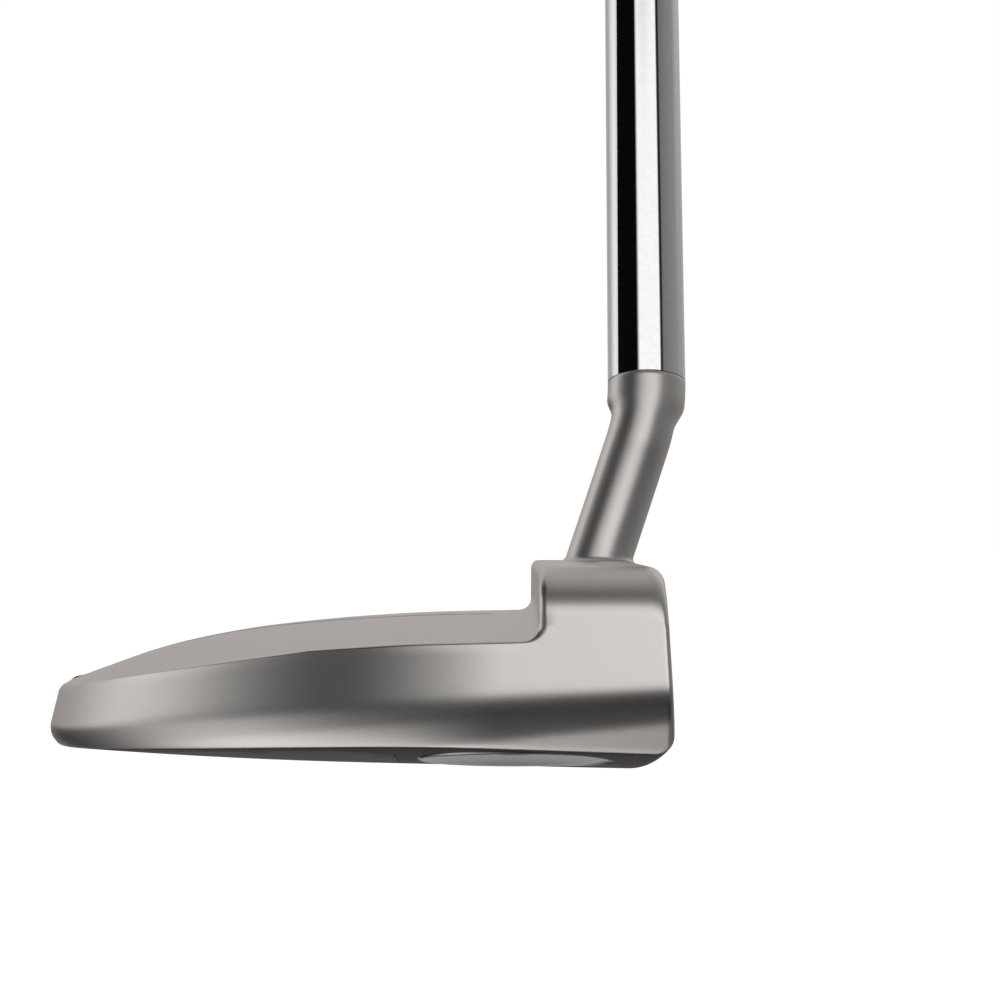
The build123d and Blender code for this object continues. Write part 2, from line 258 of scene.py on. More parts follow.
def tooled(tree, shader, marks, share, uneven, dark, light, rough, depth):
    """Tool marks with that share, and unevenness, as the shader's colour, roughness and bump."""
    mixed = weighted(tree, marks, share, uneven)
    roughness = span(tree, mixed, 0.2, 0.8, *rough, smooth=False)
    surface(tree, shader, tint(tree, mixed, dark, light), roughness, mixed, depth)


def milled(name, dark, light, axis, pitch, rough, depth, **constants):
    """Metal with straight cutter marks, pitch metres apart along axis, each a little different."""
    made, tree, shader = material(name, Metallic=1.0, **constants)
    where = node(tree, "ShaderNodeTexCoord").outputs["Object"]
    part = node(tree, "ShaderNodeSeparateXYZ", {0: where}).outputs[axis]
    wander = noise(tree, stretched(tree, even(60)), detail=1.0)
    along = maths(tree, "ADD", part, maths(tree, "MULTIPLY", wander, pitch * 1.5))
    scale = [40, 40, 40]
    scale[axis] = 1.3 / pitch
    uneven = noise(tree, stretched(tree, scale), detail=2.0)
    tooled(tree, shader, lines_of(tree, along, pitch), 0.55, uneven, dark, light, rough, depth)
    return made


def turned_metal(name, dark, light, pitch, rough, depth):
    """Metal with fine rings round the object's own z axis."""
    made, tree, shader = material(name, Metallic=1.0)
    where = node(tree, "ShaderNodeTexCoord").outputs["Object"]
    flat = node(tree, "ShaderNodeVectorMath", {0: where, 1: (1, 1, 0)}, operation="MULTIPLY").outputs[0]
    radius = node(tree, "ShaderNodeVectorMath", {0: flat}, operation="LENGTH").outputs["Value"]
    uneven = noise(tree, node(tree, "ShaderNodeCombineXYZ", {0: radius}).outputs[0], 0.7 / pitch, detail=2.0)
    tooled(tree, shader, lines_of(tree, radius, pitch), 0.4, uneven, dark, light, rough, depth)
    return made


SATIN_DARK, SATIN_LIGHT, SATIN_EDGE = (0.68, 0.652, 0.628), (0.75, 0.722, 0.698), (1.0, 0.95, 0.915, 1)

finish_of = {
    "satin_steel": grained_metal(
        "satin_steel", SATIN_DARK, SATIN_LIGHT, even(9000), rough=(0.30, 0.35), depth=9e-7,
        Specular_Tint=SATIN_EDGE),
    "satin_steel_neck": grained_metal(
        "satin_steel_neck", SATIN_DARK, SATIN_LIGHT, even(7000), rough=(0.36, 0.41), depth=7e-7,
        Specular_Tint=SATIN_EDGE),
    "black_paint": plain_coat("black_paint", even(0.004), even(0.012), 3000),
    "brushed_aluminium": grained_metal(
        "brushed_aluminium", even(0.24), even(0.46), (260, 5000, 2500), turn=(0, 0, math.radians(35)),
        rough=(0.26, 0.46), depth=5e-6, Specular_Tint=(0.34, 0.345, 0.34, 1)),
    "adhesive_film": plain_coat("adhesive_film", (0.45, 0.45, 0.42), (0.6, 0.6, 0.57), 900),
    "screw_steel": grained_metal(
        "screw_steel", (0.28, 0.27, 0.26), (0.4, 0.39, 0.38), even(4000), rough=(0.25, 0.4)),
    "epoxy": plain_coat("epoxy", (0.28, 0.24, 0.13), (0.4, 0.36, 0.22), 700, (0.2, 0.35)),
    "chrome_steel": grained_metal(
        "chrome_steel", even(0.74), even(0.8), even(1500), rough=(0.03, 0.06), depth=1e-7),
    "paper_tape": plain_coat("paper_tape", (0.55, 0.48, 0.34), (0.68, 0.6, 0.45), 2500, (0.7, 0.9)),
    "foam_rubber": plain_coat("foam_rubber", (0.02, 0.02, 0.022), (0.05, 0.05, 0.052), 1800, (0.8, 0.95)),
    "grip_polymer": pebbled(
        "grip_polymer", (0.014, 0.014, 0.015), (0.04, 0.04, 0.042), 0.0011, (0.42, 0.7), 7e-5),
    "cap_rubber": plain_coat("cap_rubber", even(0.02), even(0.04), 1500, (0.45, 0.6)),
    "polished_steel": turned_metal(
        "polished_steel", (0.42, 0.40, 0.39), (0.62, 0.6, 0.58), 0.00022, (0.16, 0.3), 1.5e-6),
    # The sole's milling has a darker colour and a dark edge tint than the face's: partly the milled finish,
    # partly painted shade of the downward-facing sole.
    "milled_sole": milled("milled_sole", (0.24, 0.23, 0.22), (0.48, 0.46, 0.44), 0, 0.00019, (0.25, 0.4), 4e-6,
                          Specular_Tint=(0.17, 0.165, 0.16, 1)),
    "milled_face": milled("milled_face", (0.42, 0.40, 0.39), (0.6, 0.58, 0.56), 2, 0.0004, (0.25, 0.38), 6e-6),
    "nylon": plain_coat("nylon", (0.6, 0.6, 0.57), (0.75, 0.75, 0.72), 1200, (0.35, 0.5)),
}

slot_of = {part["node"]: part["material_slot"] for part in frame["record"]["subparts"]}
for name, obj in nodes.items():
    for i in range(len(obj.material_slots)):
        obj.material_slots[i].material = finish_of[slot_of[name]]


# ---------------------------------------------------------------- head

PITCH, SOLE_LOW_X, SOLE_CUT = math.tan(math.radians(1.3)), 12.0, 0.40
SOLE_CROWN = 565.0  # twice the radius of the sole across the head
TAIL_RISE, TAIL_RISE_FROM = 0.00082, -14.0
SOLE_FRONT_ROUND, SOLE_FRONT_LOSS = 4.3, 0.001  # the leading edge's radius, and what it loses with y squared
SOLE_EDGE_UP, SOLE_EDGE_IN = 0.18, 0.22  # reach of the small rounding between sole and wall, on each of them
HALF_LENGTH, TAIL_CENTRE, TAIL_RADIUS = 53.1, 1.833, 53.933
SIDE_CENTRE, SIDE_RADIUS = (0.0, 1.6), 51.5
BELT_HEIGHT, BELT_SLOPE = 7.55, 0.078
UPPER_SLOPE, UNDER_SLOPE = math.tan(math.radians(14)), math.tan(math.radians(40))
# the belt's rounding touches both slopes: its centre and its ends, as multiples of its radius
ARC_IN, ARC_UP, ARC_TOP, ARC_FOOT = 1.0936, 0.2524, 0.4944, 0.3903
BELT_ROUND = ((-53, -49, -43, -31, -20, 0, 10, 18), (2.3, 2.5, 4.2, 6.2, 6.7, 6.5, 5.6, 5.0))
CROWN = ((-56, -46, -40, -30, -20, -10, 4), (6.9, 10.6, 12.7, 14.9, 16.0, 16.6, 16.9))
CROWN_BEND = (1 / 300, 1 / 300, 1 / 300, 1 / 400, 1 / 680, 1 / 870, 1 / 1000)
TAIL_BEVEL_X, TAIL_BEVEL_Z, TAIL_BEVEL_REACH, TAIL_BEVEL_SLOPE = -49.3, 9.4, 3.0, math.tan(math.radians(38))
TOP_HEIGHT, TOP_TILT, TOP_SIDE_ROUND, TOP_FRONT_ROUND = 22.75, 0.0087, 6.6, 2.0
FACE_REACH, LOFT = 18.3, math.tan(math.radians(3))
REAR_WALL, FLANGE_FILLET, REAR_ROUND = 4.0, 1.7, 0.9
REAR_SQUARE = 2.0  # height above the fillet from which the rear edge is square to the side
EDGE_ROUND, SIDE_FRONT_ROUND = 0.25, 0.6
COLUMNS = 48  # across the head
ACROSS = np.linspace(-1, 1, COLUMNS + 1)


def face_x(z):
    return FACE_REACH - LOFT * z


def sole_height(x, y):
    base = PITCH * (SOLE_LOW_X - x) - SOLE_CUT + y * y / SOLE_CROWN
    base = np.maximum(base + TAIL_RISE * np.maximum(0, TAIL_RISE_FROM - x) ** 2, 0)
    radius = SOLE_FRONT_ROUND - y * y * SOLE_FRONT_LOSS
    inside = np.clip(radius - (face_x(base + radius) - x), 0, radius)
    return base + radius - np.sqrt(radius**2 - inside**2)


def top_height(x, y):
    flat = TOP_HEIGHT - TOP_TILT * y
    inside = np.clip(TOP_FRONT_ROUND - (face_x(flat - TOP_FRONT_ROUND) - x), 0, TOP_FRONT_ROUND)
    return flat - TOP_FRONT_ROUND + np.sqrt(TOP_FRONT_ROUND**2 - inside**2)


def crown_height(x, y):
    """Height of the flange's top: a smooth curve through CROWN along the middle, falling off to the sides."""
    xs, zs = (np.array(v, float) for v in CROWN)
    slopes = np.gradient(zs, xs)
    x_in = np.clip(x, xs[0], xs[-1])
    i = np.clip(np.searchsorted(xs, x_in) - 1, 0, len(xs) - 2)
    gap = xs[i + 1] - xs[i]
    t = (x_in - xs[i]) / gap
    middle = (
        (1 + 2 * t) * (1 - t) ** 2 * zs[i] + t * t * (3 - 2 * t) * zs[i + 1]
        + gap * t * (1 - t) * ((1 - t) * slopes[i] - t * slopes[i + 1])
    )
    bend = np.interp(x_in, xs, CROWN_BEND)
    bevel = TAIL_BEVEL_Z + (x - TAIL_BEVEL_X) * TAIL_BEVEL_SLOPE
    return np.minimum(middle - y * y * bend / 2, np.where(x < TAIL_BEVEL_X + TAIL_BEVEL_REACH, bevel, np.inf))


def wall_offset(z, x):
    """How far the side wall is outside (+) or inside (-) the belt line at height z, at the outline's x."""
    rise, radius = z - BELT_HEIGHT - BELT_SLOPE * x, np.interp(x, *BELT_ROUND)
    arc = -ARC_IN * radius + np.sqrt(np.maximum(radius**2 - (rise - ARC_UP * radius) ** 2, 0))
    low = np.where(rise < -ARC_FOOT * radius, UNDER_SLOPE * rise, arc)
    return np.where(rise > ARC_TOP * radius, -UPPER_SLOPE * rise, low)


def on_wall(z, place):
    px, py, nx, ny = place
    out = wall_offset(z, px)
    return np.stack([px + out * nx, py + out * ny, z + 0 * px], -1)


def settle(height, place, z):
    """The height where the wall meets the surface height(x, y), by repetition from a first guess z."""
    for _ in range(16):
        p = on_wall(z, place)
        z = height(p[..., 0], p[..., 1])
    return z


def between(a, b, t):
    return a + (b - a) * t


ARC_WEIGHT = 1.414  # makes a curve with one handle nearly a quarter of a circle


def rounded(start, corner, stop, t):
    """The point at t = 0..1 of a rounding from start to stop inside corner."""
    parts = (1 - t) ** 2, ARC_WEIGHT * t * (1 - t), t * t
    return (parts[0] * start + parts[1] * corner + parts[2] * stop) / sum(parts)


def rounding(corner, a, b):
    """Points of a small rounding from a to b inside corner, both ends with it."""
    return [a, *(rounded(a, corner, b, t) for t in (0.25, 0.5, 0.75)), b]


CREASE_ROWS, MILLED_ROWS = 4, 2  # of a band: rows in the crease's rounding; milled rows above the sole
UNDER_ROWS, UPPER_ROWS = 13, 5  # of a band: rows below and above the top of the belt's rounding


def band(place):
    """The side wall at outline places (x, y, normal x, normal y): rows of points from the sole's edge to the
    flange's crease, then the crease's rounding, as [place, point, xyz]."""
    px, _, nx, ny = place
    inward = np.stack([-nx, -ny, 0 * nx], -1)
    low = settle(sole_height, place, BELT_HEIGHT + BELT_SLOPE * px - 2)
    corner, above = on_wall(low, place), on_wall(low + SOLE_EDGE_UP, place)
    under = corner + SOLE_EDGE_IN * inward
    under[..., 2] = sole_height(under[..., 0], under[..., 1])
    points = rounding(corner, under, above)[:-1]
    facet = BELT_HEIGHT + BELT_SLOPE * px + ARC_TOP * np.interp(px, *BELT_ROUND)
    high = settle(crown_height, place, facet + 3)
    for t in np.linspace(0, 1, UNDER_ROWS + 1)[:-1]:
        points.append(on_wall(between(low + SOLE_EDGE_UP, facet, t), place))
    for t in np.linspace(0, 1, UPPER_ROWS + 1):
        points.append(on_wall(facet + (high - EDGE_ROUND - facet) * t, place))
    crease = on_wall(high, place)
    inner = crease + EDGE_ROUND * inward
    inner[..., 2] = crown_height(inner[..., 0], inner[..., 1])
    points += rounding(crease, points[-1], inner)[1:]
    return np.stack(points, -2)


TIP_TURN = 0.06  # radians of the tail's curve with closer places, round the notch


def straight(x, side):
    """Outline places on the straight part of the head's side."""
    x = np.asarray(x, float)
    return x, side * HALF_LENGTH + 0 * x, 0 * x, side + 0 * x


def outline_places(side):
    """Outline places from the tail's tip round to the straight part's start at the flange's fillet."""
    join = math.atan2(SIDE_CENTRE[1], TAIL_CENTRE - SIDE_CENTRE[0])
    angles = np.concatenate([np.linspace(0, TIP_TURN, 5), np.linspace(TIP_TURN, join, 38)[1:]])

    def tail(a):
        return np.stack(
            [TAIL_CENTRE - TAIL_RADIUS * np.cos(a), TAIL_RADIUS * np.sin(a), -np.cos(a), np.sin(a)], -1
        )

    def crease_x(a):
        return band(tuple(tail(np.array([a])).T))[0, -1, 0]

    low, high = 0.0, join
    for _ in range(24):
        middle = (low + high) / 2
        low, high = (middle, high) if crease_x(middle) < TAIL_BEVEL_X else (low, middle)
    angles[np.argmin(abs(angles - low))] = low
    turn = np.linspace(join, math.pi / 2, 42)[1:]
    round_side = np.stack(
        [SIDE_CENTRE[0] - SIDE_RADIUS * np.cos(turn), SIDE_CENTRE[1] + SIDE_RADIUS * np.sin(turn),
         -np.cos(turn), np.sin(turn)], -1)
    run = np.linspace(SIDE_CENTRE[0], REAR_WALL - FLANGE_FILLET, 4)[1:]
    run = np.stack([run, HALF_LENGTH + 0 * run, 0 * run, 1 + 0 * run], -1)
    places = np.concatenate([tail(angles), round_side, run])
    places[:, [1, 3]] *= side
    return tuple(places.T)


FILLET_STEPS, FILLET_ROWS, WALL_ROWS, ARC_ROWS = 8, 5, 5, 10


def fillet_edge(side):
    """The path where the fillet under the block's rear wall meets the side: facet, rounding and fillet."""
    out = []
    for k in range(FILLET_STEPS + 1):
        turn = math.pi / 2 * k / FILLET_STEPS
        share = k / FILLET_STEPS
        soft = EDGE_ROUND + (REAR_ROUND - EDGE_ROUND) * share * share * (3 - 2 * share)
        x = REAR_WALL - FLANGE_FILLET * (1 - math.sin(turn))
        lift = FLANGE_FILLET * (1 - math.cos(turn))
        foot = REAR_WALL - FLANGE_FILLET

        def height(_, y, lift=lift, foot=foot):
            return crown_height(foot + 0 * y, y) + lift

        z = settle(height, straight(x, side), 18.0)
        corner = on_wall(z, straight(x, side))
        facet = on_wall(z - soft * math.cos(turn), straight(x + soft * math.sin(turn), side))
        inner = corner - np.array([0, side * soft, 0])
        inner[2] = height(0, inner[1])
        out.append(rounding(corner, facet, inner))
    return np.array(out)


@functools.lru_cache
def fillet_top(side):
    return fillet_edge(side)[-1, 0, 2]


def block_side(x, side):
    """The block's side at x: points from the sole's edge up to the top's edge, as [x, point, xyz]."""
    x = np.asarray(x, float)
    place = straight(x, side)
    lower = band(place)[..., :-CREASE_ROWS, :]
    points = [lower[..., i, :] for i in range(lower.shape[-2])]
    start, lifted = points[-1][..., 2], fillet_top(side)
    for t in np.linspace(0, 1, FILLET_ROWS + 1)[1:]:
        points.append(on_wall(start + (lifted - start) * t, place))
    lowered = TOP_HEIGHT - top_height(x, 0 * x)
    slope = -TOP_TILT * side
    reach = HALF_LENGTH
    for _ in range(8):
        corner_z = TOP_HEIGHT - lowered + slope * reach
        reach = HALF_LENGTH + wall_offset(corner_z, x)
    down = np.array([UPPER_SLOPE, -1]) / math.hypot(UPPER_SLOPE, 1)
    inward = np.array([-1, -slope]) / math.hypot(1, slope)
    half = math.acos(down @ inward) / 2
    bisector = (down + inward) / np.linalg.norm(down + inward)
    corner = np.stack([reach, corner_z], -1)
    centre = corner + bisector * TOP_SIDE_ROUND / math.sin(half)
    first, last = (corner + d * TOP_SIDE_ROUND / math.tan(half) - centre for d in (down, inward))
    arc_start = (centre + first)[..., 1]
    for t in np.linspace(0, 1, WALL_ROWS + 1)[1:-1]:
        points.append(on_wall(lifted + (arc_start - lifted) * t, place))
    sweep = math.pi - 2 * half
    for t in np.linspace(0, 1, ARC_ROWS + 1):
        a = centre + (first * math.sin((1 - t) * sweep) + last * math.sin(t * sweep)) / math.sin(sweep)
        points.append(np.stack([x, side * a[..., 0], a[..., 1]], -1))
    return np.stack(points, -2)


def across(left, right, height=None):
    """A row of points from left to right, on the surface height(x, y) if it is given."""
    row = np.array([between(left, right, (t + 1) / 2) for t in ACROSS])
    if height is not None:
        row[1:-1, 2] = height(row[1:-1, 0], row[1:-1, 1])
    return row


BLOCK_START, BLOCK_MIDDLE = REAR_WALL + REAR_ROUND, 10.0
NEAR_FACE = (5.2, 4.6, 4.1, 3.6, 3.1, 2.7, 2.35, 2.0, 1.7, 1.4, 1.15, 0.9, 0.7, 0.52, 0.36, 0.22, 0.12, 0.05,
             0.01, 0)


def block_loop():
    """Closed rings round the block from its rear edge to the face, as [row, point, xyz], and the number of
    points up a side."""
    count = block_side([BLOCK_START], 1).shape[1]

    def column(kind, index, x):
        if kind in ("toe", "heel"):
            return block_side(x, -1 if kind == "toe" else 1)[:, index]
        toe, heel = block_side(x, -1), block_side(x, 1)
        end = -1 if kind == "top" else 0
        point = between(toe[:, end], heel[:, end], (ACROSS[index] + 1) / 2)
        point[:, 2] = (top_height if kind == "top" else sole_height)(point[:, 0], point[:, 1])
        return point

    ring = [("toe", i) for i in range(count)] + [("top", i) for i in range(1, COLUMNS)]
    ring += [("heel", i) for i in reversed(range(count))] + [("sole", i) for i in reversed(range(1, COLUMNS))]
    columns = []
    for kind, index in ring:
        end = face_x(BLOCK_MIDDLE)
        for _ in range(4):
            end = face_x(column(kind, index, np.array([end]))[0, 2])
        far = np.linspace(BLOCK_START, end - NEAR_FACE[0], 8)[:-1]
        gap = np.concatenate([end - far, NEAR_FACE])
        points = column(kind, index, end - gap)
        inside = np.clip(SIDE_FRONT_ROUND - gap, 0, SIDE_FRONT_ROUND)
        shrink = SIDE_FRONT_ROUND - np.sqrt(SIDE_FRONT_ROUND**2 - inside**2)
        points[:, 1] *= 1 - shrink / HALF_LENGTH
        columns.append(points)
    return np.stack(columns, 1), count


# Head material numbers: satin steel; the milled sole, whose darker colour is partly painted shade; the milled
# face.
SATIN, SHADED_SOLE_MILL, FACE_MILL = 0, 1, 2


def head_patches():
    """The head's skin as (grid of points, material) patches."""
    loop, count = block_loop()
    lower_count = band(straight([0.0], 1)).shape[1] - CREASE_ROWS
    patches = []
    bands, edges = {}, {}
    for side in (-1, 1):
        edge = fillet_edge(side)
        flange = band(outline_places(side))
        beside = band(straight(edge[1:, 0, 0], side))
        first_ring = block_side([BLOCK_START], side)[0]
        lower = np.concatenate([flange[:, :-CREASE_ROWS], beside[:, :-CREASE_ROWS]])
        lower[-1] = first_ring[:lower_count]
        bands[side] = lower
        patches += [(lower[:, : MILLED_ROWS + 1], SHADED_SOLE_MILL), (lower[:, MILLED_ROWS:], SATIN)]
        facets = np.concatenate([flange[-1:, -CREASE_ROWS - 1], beside[:, -CREASE_ROWS - 1]])
        shares = np.linspace(0, 1, FILLET_ROWS + 1)
        rise = np.array([[on_wall(between(low[2], high[2], t), straight(high[0], side)) for t in shares]
                         for low, high in zip(facets, edge[:, 0])])
        rise[-1] = first_ring[lower_count - 1 : lower_count + FILLET_ROWS]
        patches.append((rise, SATIN))
        # the block's rear edge, up the side: on the side, its rounding, on the rear wall
        outer = first_ring[lower_count + FILLET_ROWS - 1 :]
        along = np.gradient(outer[:, 1:], axis=0)
        inward = np.stack([0 * along[:, 0], -along[:, 1] * side, along[:, 0] * side], -1)
        inward /= np.linalg.norm(inward, axis=1)[:, None]
        corner = outer - [REAR_ROUND, 0, 0]
        inner = corner + REAR_ROUND * inward
        square = np.clip((outer[:, 2] - outer[0, 2]) / REAR_SQUARE, 0, 1)
        start_lift = edge[-1, -1, 2] - outer[0, 2]
        inner[:, 2] = corner[:, 2] + REAR_ROUND * inward[:, 2] * square + start_lift * (1 - square)
        inner[0] = edge[-1, -1]
        rear = np.stack(rounding(corner, outer, inner), 1)
        path = np.concatenate([flange[:, -CREASE_ROWS - 1 :], edge[1:-1], rear])
        patches.append((path, SATIN))
        edges[side] = path
    toe, heel = edges[-1], edges[1]
    steps = len(toe) - (WALL_ROWS + ARC_ROWS)
    upper = [across(a, b, crown_height) for a, b in zip(toe[: steps - FILLET_STEPS, -1], heel[:, -1])]
    foot = REAR_WALL - FLANGE_FILLET
    for k in range(1, FILLET_STEPS + 1):
        lift = FLANGE_FILLET * (1 - math.cos(math.pi / 2 * k / FILLET_STEPS))
        i = len(upper)
        upper.append(across(
            toe[i, -1], heel[i, -1], lambda x, y, lift=lift: crown_height(foot + 0 * y, y) + lift))
    bow = upper[-1][:, 2] - across(upper[-1][0], upper[-1][-1])[:, 2]
    last = len(toe) - 1
    low, high = toe[len(upper) - 1, -1, 2], toe[last, -1, 2]
    for i in range(len(upper), last):
        row = across(toe[i, -1], heel[i, -1])
        row[:, 2] += bow * max(0.0, (high - row[0, 2]) / (high - low))
        upper.append(row)
    top_line = loop[0, count - 1 : count + COLUMNS]
    for k in reversed(range(CREASE_ROWS + 1)):
        drop = toe[last, k] - toe[last, 0]
        row = top_line + drop * [1, 0, 1]
        row[0], row[-1] = toe[last, k], heel[last, k]
        upper.append(row)
    patches.append((np.array(upper), SATIN))
    sole = [across(a, b, sole_height) for a, b in zip(bands[-1][:, 0], bands[1][:, 0])]
    patches.append((np.array(sole), SHADED_SOLE_MILL))
    ring = np.concatenate([loop, loop[:, :1]], 1)
    sole_from = 2 * count + COLUMNS - 2
    satin_to = sole_from - MILLED_ROWS
    patches += [(ring[:, : MILLED_ROWS + 1], SHADED_SOLE_MILL), (ring[:, MILLED_ROWS : satin_to + 1], SATIN),
                (ring[:, satin_to:], SHADED_SOLE_MILL)]
    # the face, a grid between the last ring's two sides
    end = loop[-1]
    left, right = end[:count], end[count + COLUMNS - 1 : 2 * count + COLUMNS - 1][::-1]
    top, bottom = end[count - 1 : count + COLUMNS], np.concatenate([end[sole_from:], end[:1]])[::-1]
    face = np.zeros((count, COLUMNS + 1, 3))
    for i, v in enumerate(np.linspace(0, 1, count)):
        for j, u in enumerate((ACROSS + 1) / 2):
            corners = between(between(left[0], right[0], u), between(left[-1], right[-1], u), v)
            face[i, j] = between(left[i], right[i], u) + between(bottom[j], top[j], v) - corners
    face[..., 0] = face_x(face[..., 2])
    face[0], face[-1], face[:, 0], face[:, -1] = bottom, top, left, right
    patches.append((face, FACE_MILL))
    return patches


# ---------------------------------------------------------------- sole plate, sight line and screws

PLATE_INSET, PLATE_FRONT, TONGUE_HALF, TONGUE_FRONT, TONGUE_ROUND = 4.8, -11.0, 23.0, 10.0, 6.0
PLATE_THICKNESS, FILM, PLATE_GAP, PLATE_CHAMFER, PLATE_CORNER = 2.0, 0.2, 0.08, 0.22, 0.9
PLATE_SLICES = ((1, np.arange(-46, 47, 2.0)), (0, np.arange(-46, 9, 4.0)))  # (axis, places of its cuts)
SIGHT_HALF, SIGHT_FRONT, GROOVE_START, GROOVE_DEPTH, GROOVE_TOP = 0.9, -1.0, -54.5, 0.5, 3.0
PAINT_START, PAINT_DEPTH, PAINT_TAIL_LIFT, LIFT_BEFORE, LIFT_RUN = -51.15, 0.35, 0.3, 1.6, 1.2
SCREW_X, SCREW_RADIUS, SCREW_HEAD, SCREW_LENGTH, SCREW_SINK = (-40.0, -18.0), 1.5, 2.9, 7.5, 0.15
SCREW_CONE, SCREW_RIM, SCREW_GAP = SCREW_HEAD - SCREW_RADIUS, 0.12, 0.1
SCREW_PITCH, SCREW_THREAD, SCREW_KEY, SCREW_KEY_DEPTH = 0.5, 0.22, 2.0, 1.2


def plate_outline(gap):
    """The sole plate seen from below, grown by gap: the tail's curve, a straight front and a tongue."""
    inset, front = PLATE_INSET - gap, PLATE_FRONT + gap
    half, tip, soft = TONGUE_HALF + gap, TONGUE_FRONT + gap, TONGUE_ROUND
    join = math.atan2(SIDE_CENTRE[1], TAIL_CENTRE - SIDE_CENTRE[0])
    tail, side = TAIL_RADIUS - inset, SIDE_RADIUS - inset
    end = math.acos((SIDE_CENTRE[0] - front) / side) - soft / side
    points = [(TAIL_CENTRE - tail * math.cos(a), tail * math.sin(a)) for a in np.linspace(0, join, 36)[:-1]]
    points += [(SIDE_CENTRE[0] - side * math.cos(a), SIDE_CENTRE[1] + side * math.sin(a))
               for a in np.linspace(join, end, 26)]
    corner = (front, points[-1][1] + PLATE_CORNER)

    def soften(start, middle, stop):
        a, b, c = (np.array(p, float) for p in (start, middle, stop))
        return [tuple(rounded(a, b, c, t)) for t in np.linspace(0, 1, 10)]

    points += soften(points[-1], corner, (front, corner[1] - soft))[1:]
    points += soften((front, half + soft), (front, half), (front + soft, half))
    points += soften((tip - soft, half), (tip, half), (tip, half - soft))
    return points + [(x, -y) for x, y in reversed(points[1:])]


def follows_sole(name, outline, low, high, material_list, chamfer=0.0):
    """A slab of that outline between two heights above the sole's surface, cut fine enough to follow it."""
    grid = bmesh.new()
    grid.faces.new([grid.verts.new((x * MM, y * MM, 0)) for x, y in outline])
    for axis, places in PLATE_SLICES:
        for place in places:
            point, normal = Vector((0, 0, 0)), Vector((0, 0, 0))
            point[axis], normal[axis] = place * MM, 1
            bmesh.ops.bisect_plane(
                grid, geom=[*grid.verts, *grid.edges, *grid.faces], plane_co=point, plane_no=normal, dist=1e-8)
    bottom = list(grid.verts)
    raised = bmesh.ops.extrude_face_region(grid, geom=list(grid.faces))["geom"]
    top = {v for v in raised if isinstance(v, bmesh.types.BMVert)}
    for v in grid.verts:
        x, y = v.co.x / MM, v.co.y / MM
        v.co.z = (float(sole_height(x, y)) + (high if v in top else low)) * MM
    if chamfer:
        low_set = set(bottom)
        rim = [e for e in grid.edges if all(v in low_set for v in e.verts)
               and any(any(v in top for v in f.verts) for f in e.link_faces)]
        bmesh.ops.bevel(grid, geom=rim, offset=chamfer * MM, segments=2, profile=0.5, affect="EDGES")
    return finished(name, grid, material_list)


def sight_strip(name, start, low, high, material_list, tail_lift=0.0):
    """A strip along the flange's middle from x = start, between two heights above its surface, with its
    top tail_lift higher on the tail's bevel."""
    xs = np.concatenate([np.linspace(start, TAIL_BEVEL_X, 6), np.linspace(TAIL_BEVEL_X, SIGHT_FRONT, 40)[1:]])
    corners = ((-SIGHT_HALF, 0), (SIGHT_HALF, 0), (SIGHT_HALF, 1), (-SIGHT_HALF, 1), (-SIGHT_HALF, 0))

    def height(x, at_top):
        lift = tail_lift * min(1.0, max(0.0, (TAIL_BEVEL_X + LIFT_BEFORE - x) / LIFT_RUN))
        return float(crown_height(x, 0.0)) + (high + lift if at_top else low)

    body = np.array([[(x, y, height(x, at_top)) for y, at_top in corners] for x in xs])
    ends = [np.array([[end[0], end[1]], [end[3], end[2]]]) for end in (body[0], body[-1])]
    return joined(name, [(p, 0) for p in (body, *ends)], material_list)


def hexagon(width, low, high, material_list):
    """A hexagonal prism round z, width across its flats: the shape that a key socket takes out."""
    profile = [(0, low), (width / math.sqrt(3), low), (width / math.sqrt(3), high), (0, high)]
    return joined("hexagon", [(turned(profile, 6), 0)], material_list)


def screw_place(x):
    """The frame of the plate screw at x: z into the head, origin on the screw's face."""
    return Matrix.Translation(Vector((x, 0, float(sole_height(x, 0.0)) + SCREW_SINK)) * MM)


def screw_hole(x):
    """What a plate screw's countersink takes out of the plate."""
    wide, bore = SCREW_HEAD + SCREW_GAP, SCREW_RADIUS + SCREW_GAP
    profile = [(0, -2), (wide, -2), (wide, SCREW_RIM), (bore, SCREW_CONE + SCREW_RIM), (bore, 5), (0, 5)]
    hole = turned(profile, 64)
    return joined("screw_hole", [(hole, 0)], [finish_of["brushed_aluminium"]], place=screw_place(x))


def screws():
    steel, made = [finish_of["screw_steel"]], []
    for x in SCREW_X:
        profile = [(0, 0), (SCREW_HEAD - 0.15, 0), (SCREW_HEAD, SCREW_RIM)]
        profile += [(SCREW_RADIUS, SCREW_CONE + SCREW_RIM)]
        for turn_at in np.arange(SCREW_CONE + 0.6, SCREW_LENGTH - 0.4, SCREW_PITCH):
            profile += [(SCREW_RADIUS, turn_at), (SCREW_RADIUS - SCREW_THREAD, turn_at + SCREW_PITCH / 2)]
        profile += [(SCREW_RADIUS, SCREW_LENGTH - 0.3), (SCREW_RADIUS - 0.3, SCREW_LENGTH), (0, SCREW_LENGTH)]
        screw = joined("screw", [(turned(profile, 64), 0)], steel)
        cut(screw, hexagon(SCREW_KEY, -1.0, SCREW_KEY_DEPTH, steel))
        screw.data.transform(screw_place(x))
        made.append(screw)
    first, second = made
    grid = bmesh.new()
    grid.from_mesh(first.data)
    grid.from_mesh(second.data)
    both = finished("plate_screws", grid, steel, sharp=35)
    for each in made:
        bpy.data.objects.remove(each)
    return both


# ---------------------------------------------------------------- sole weights

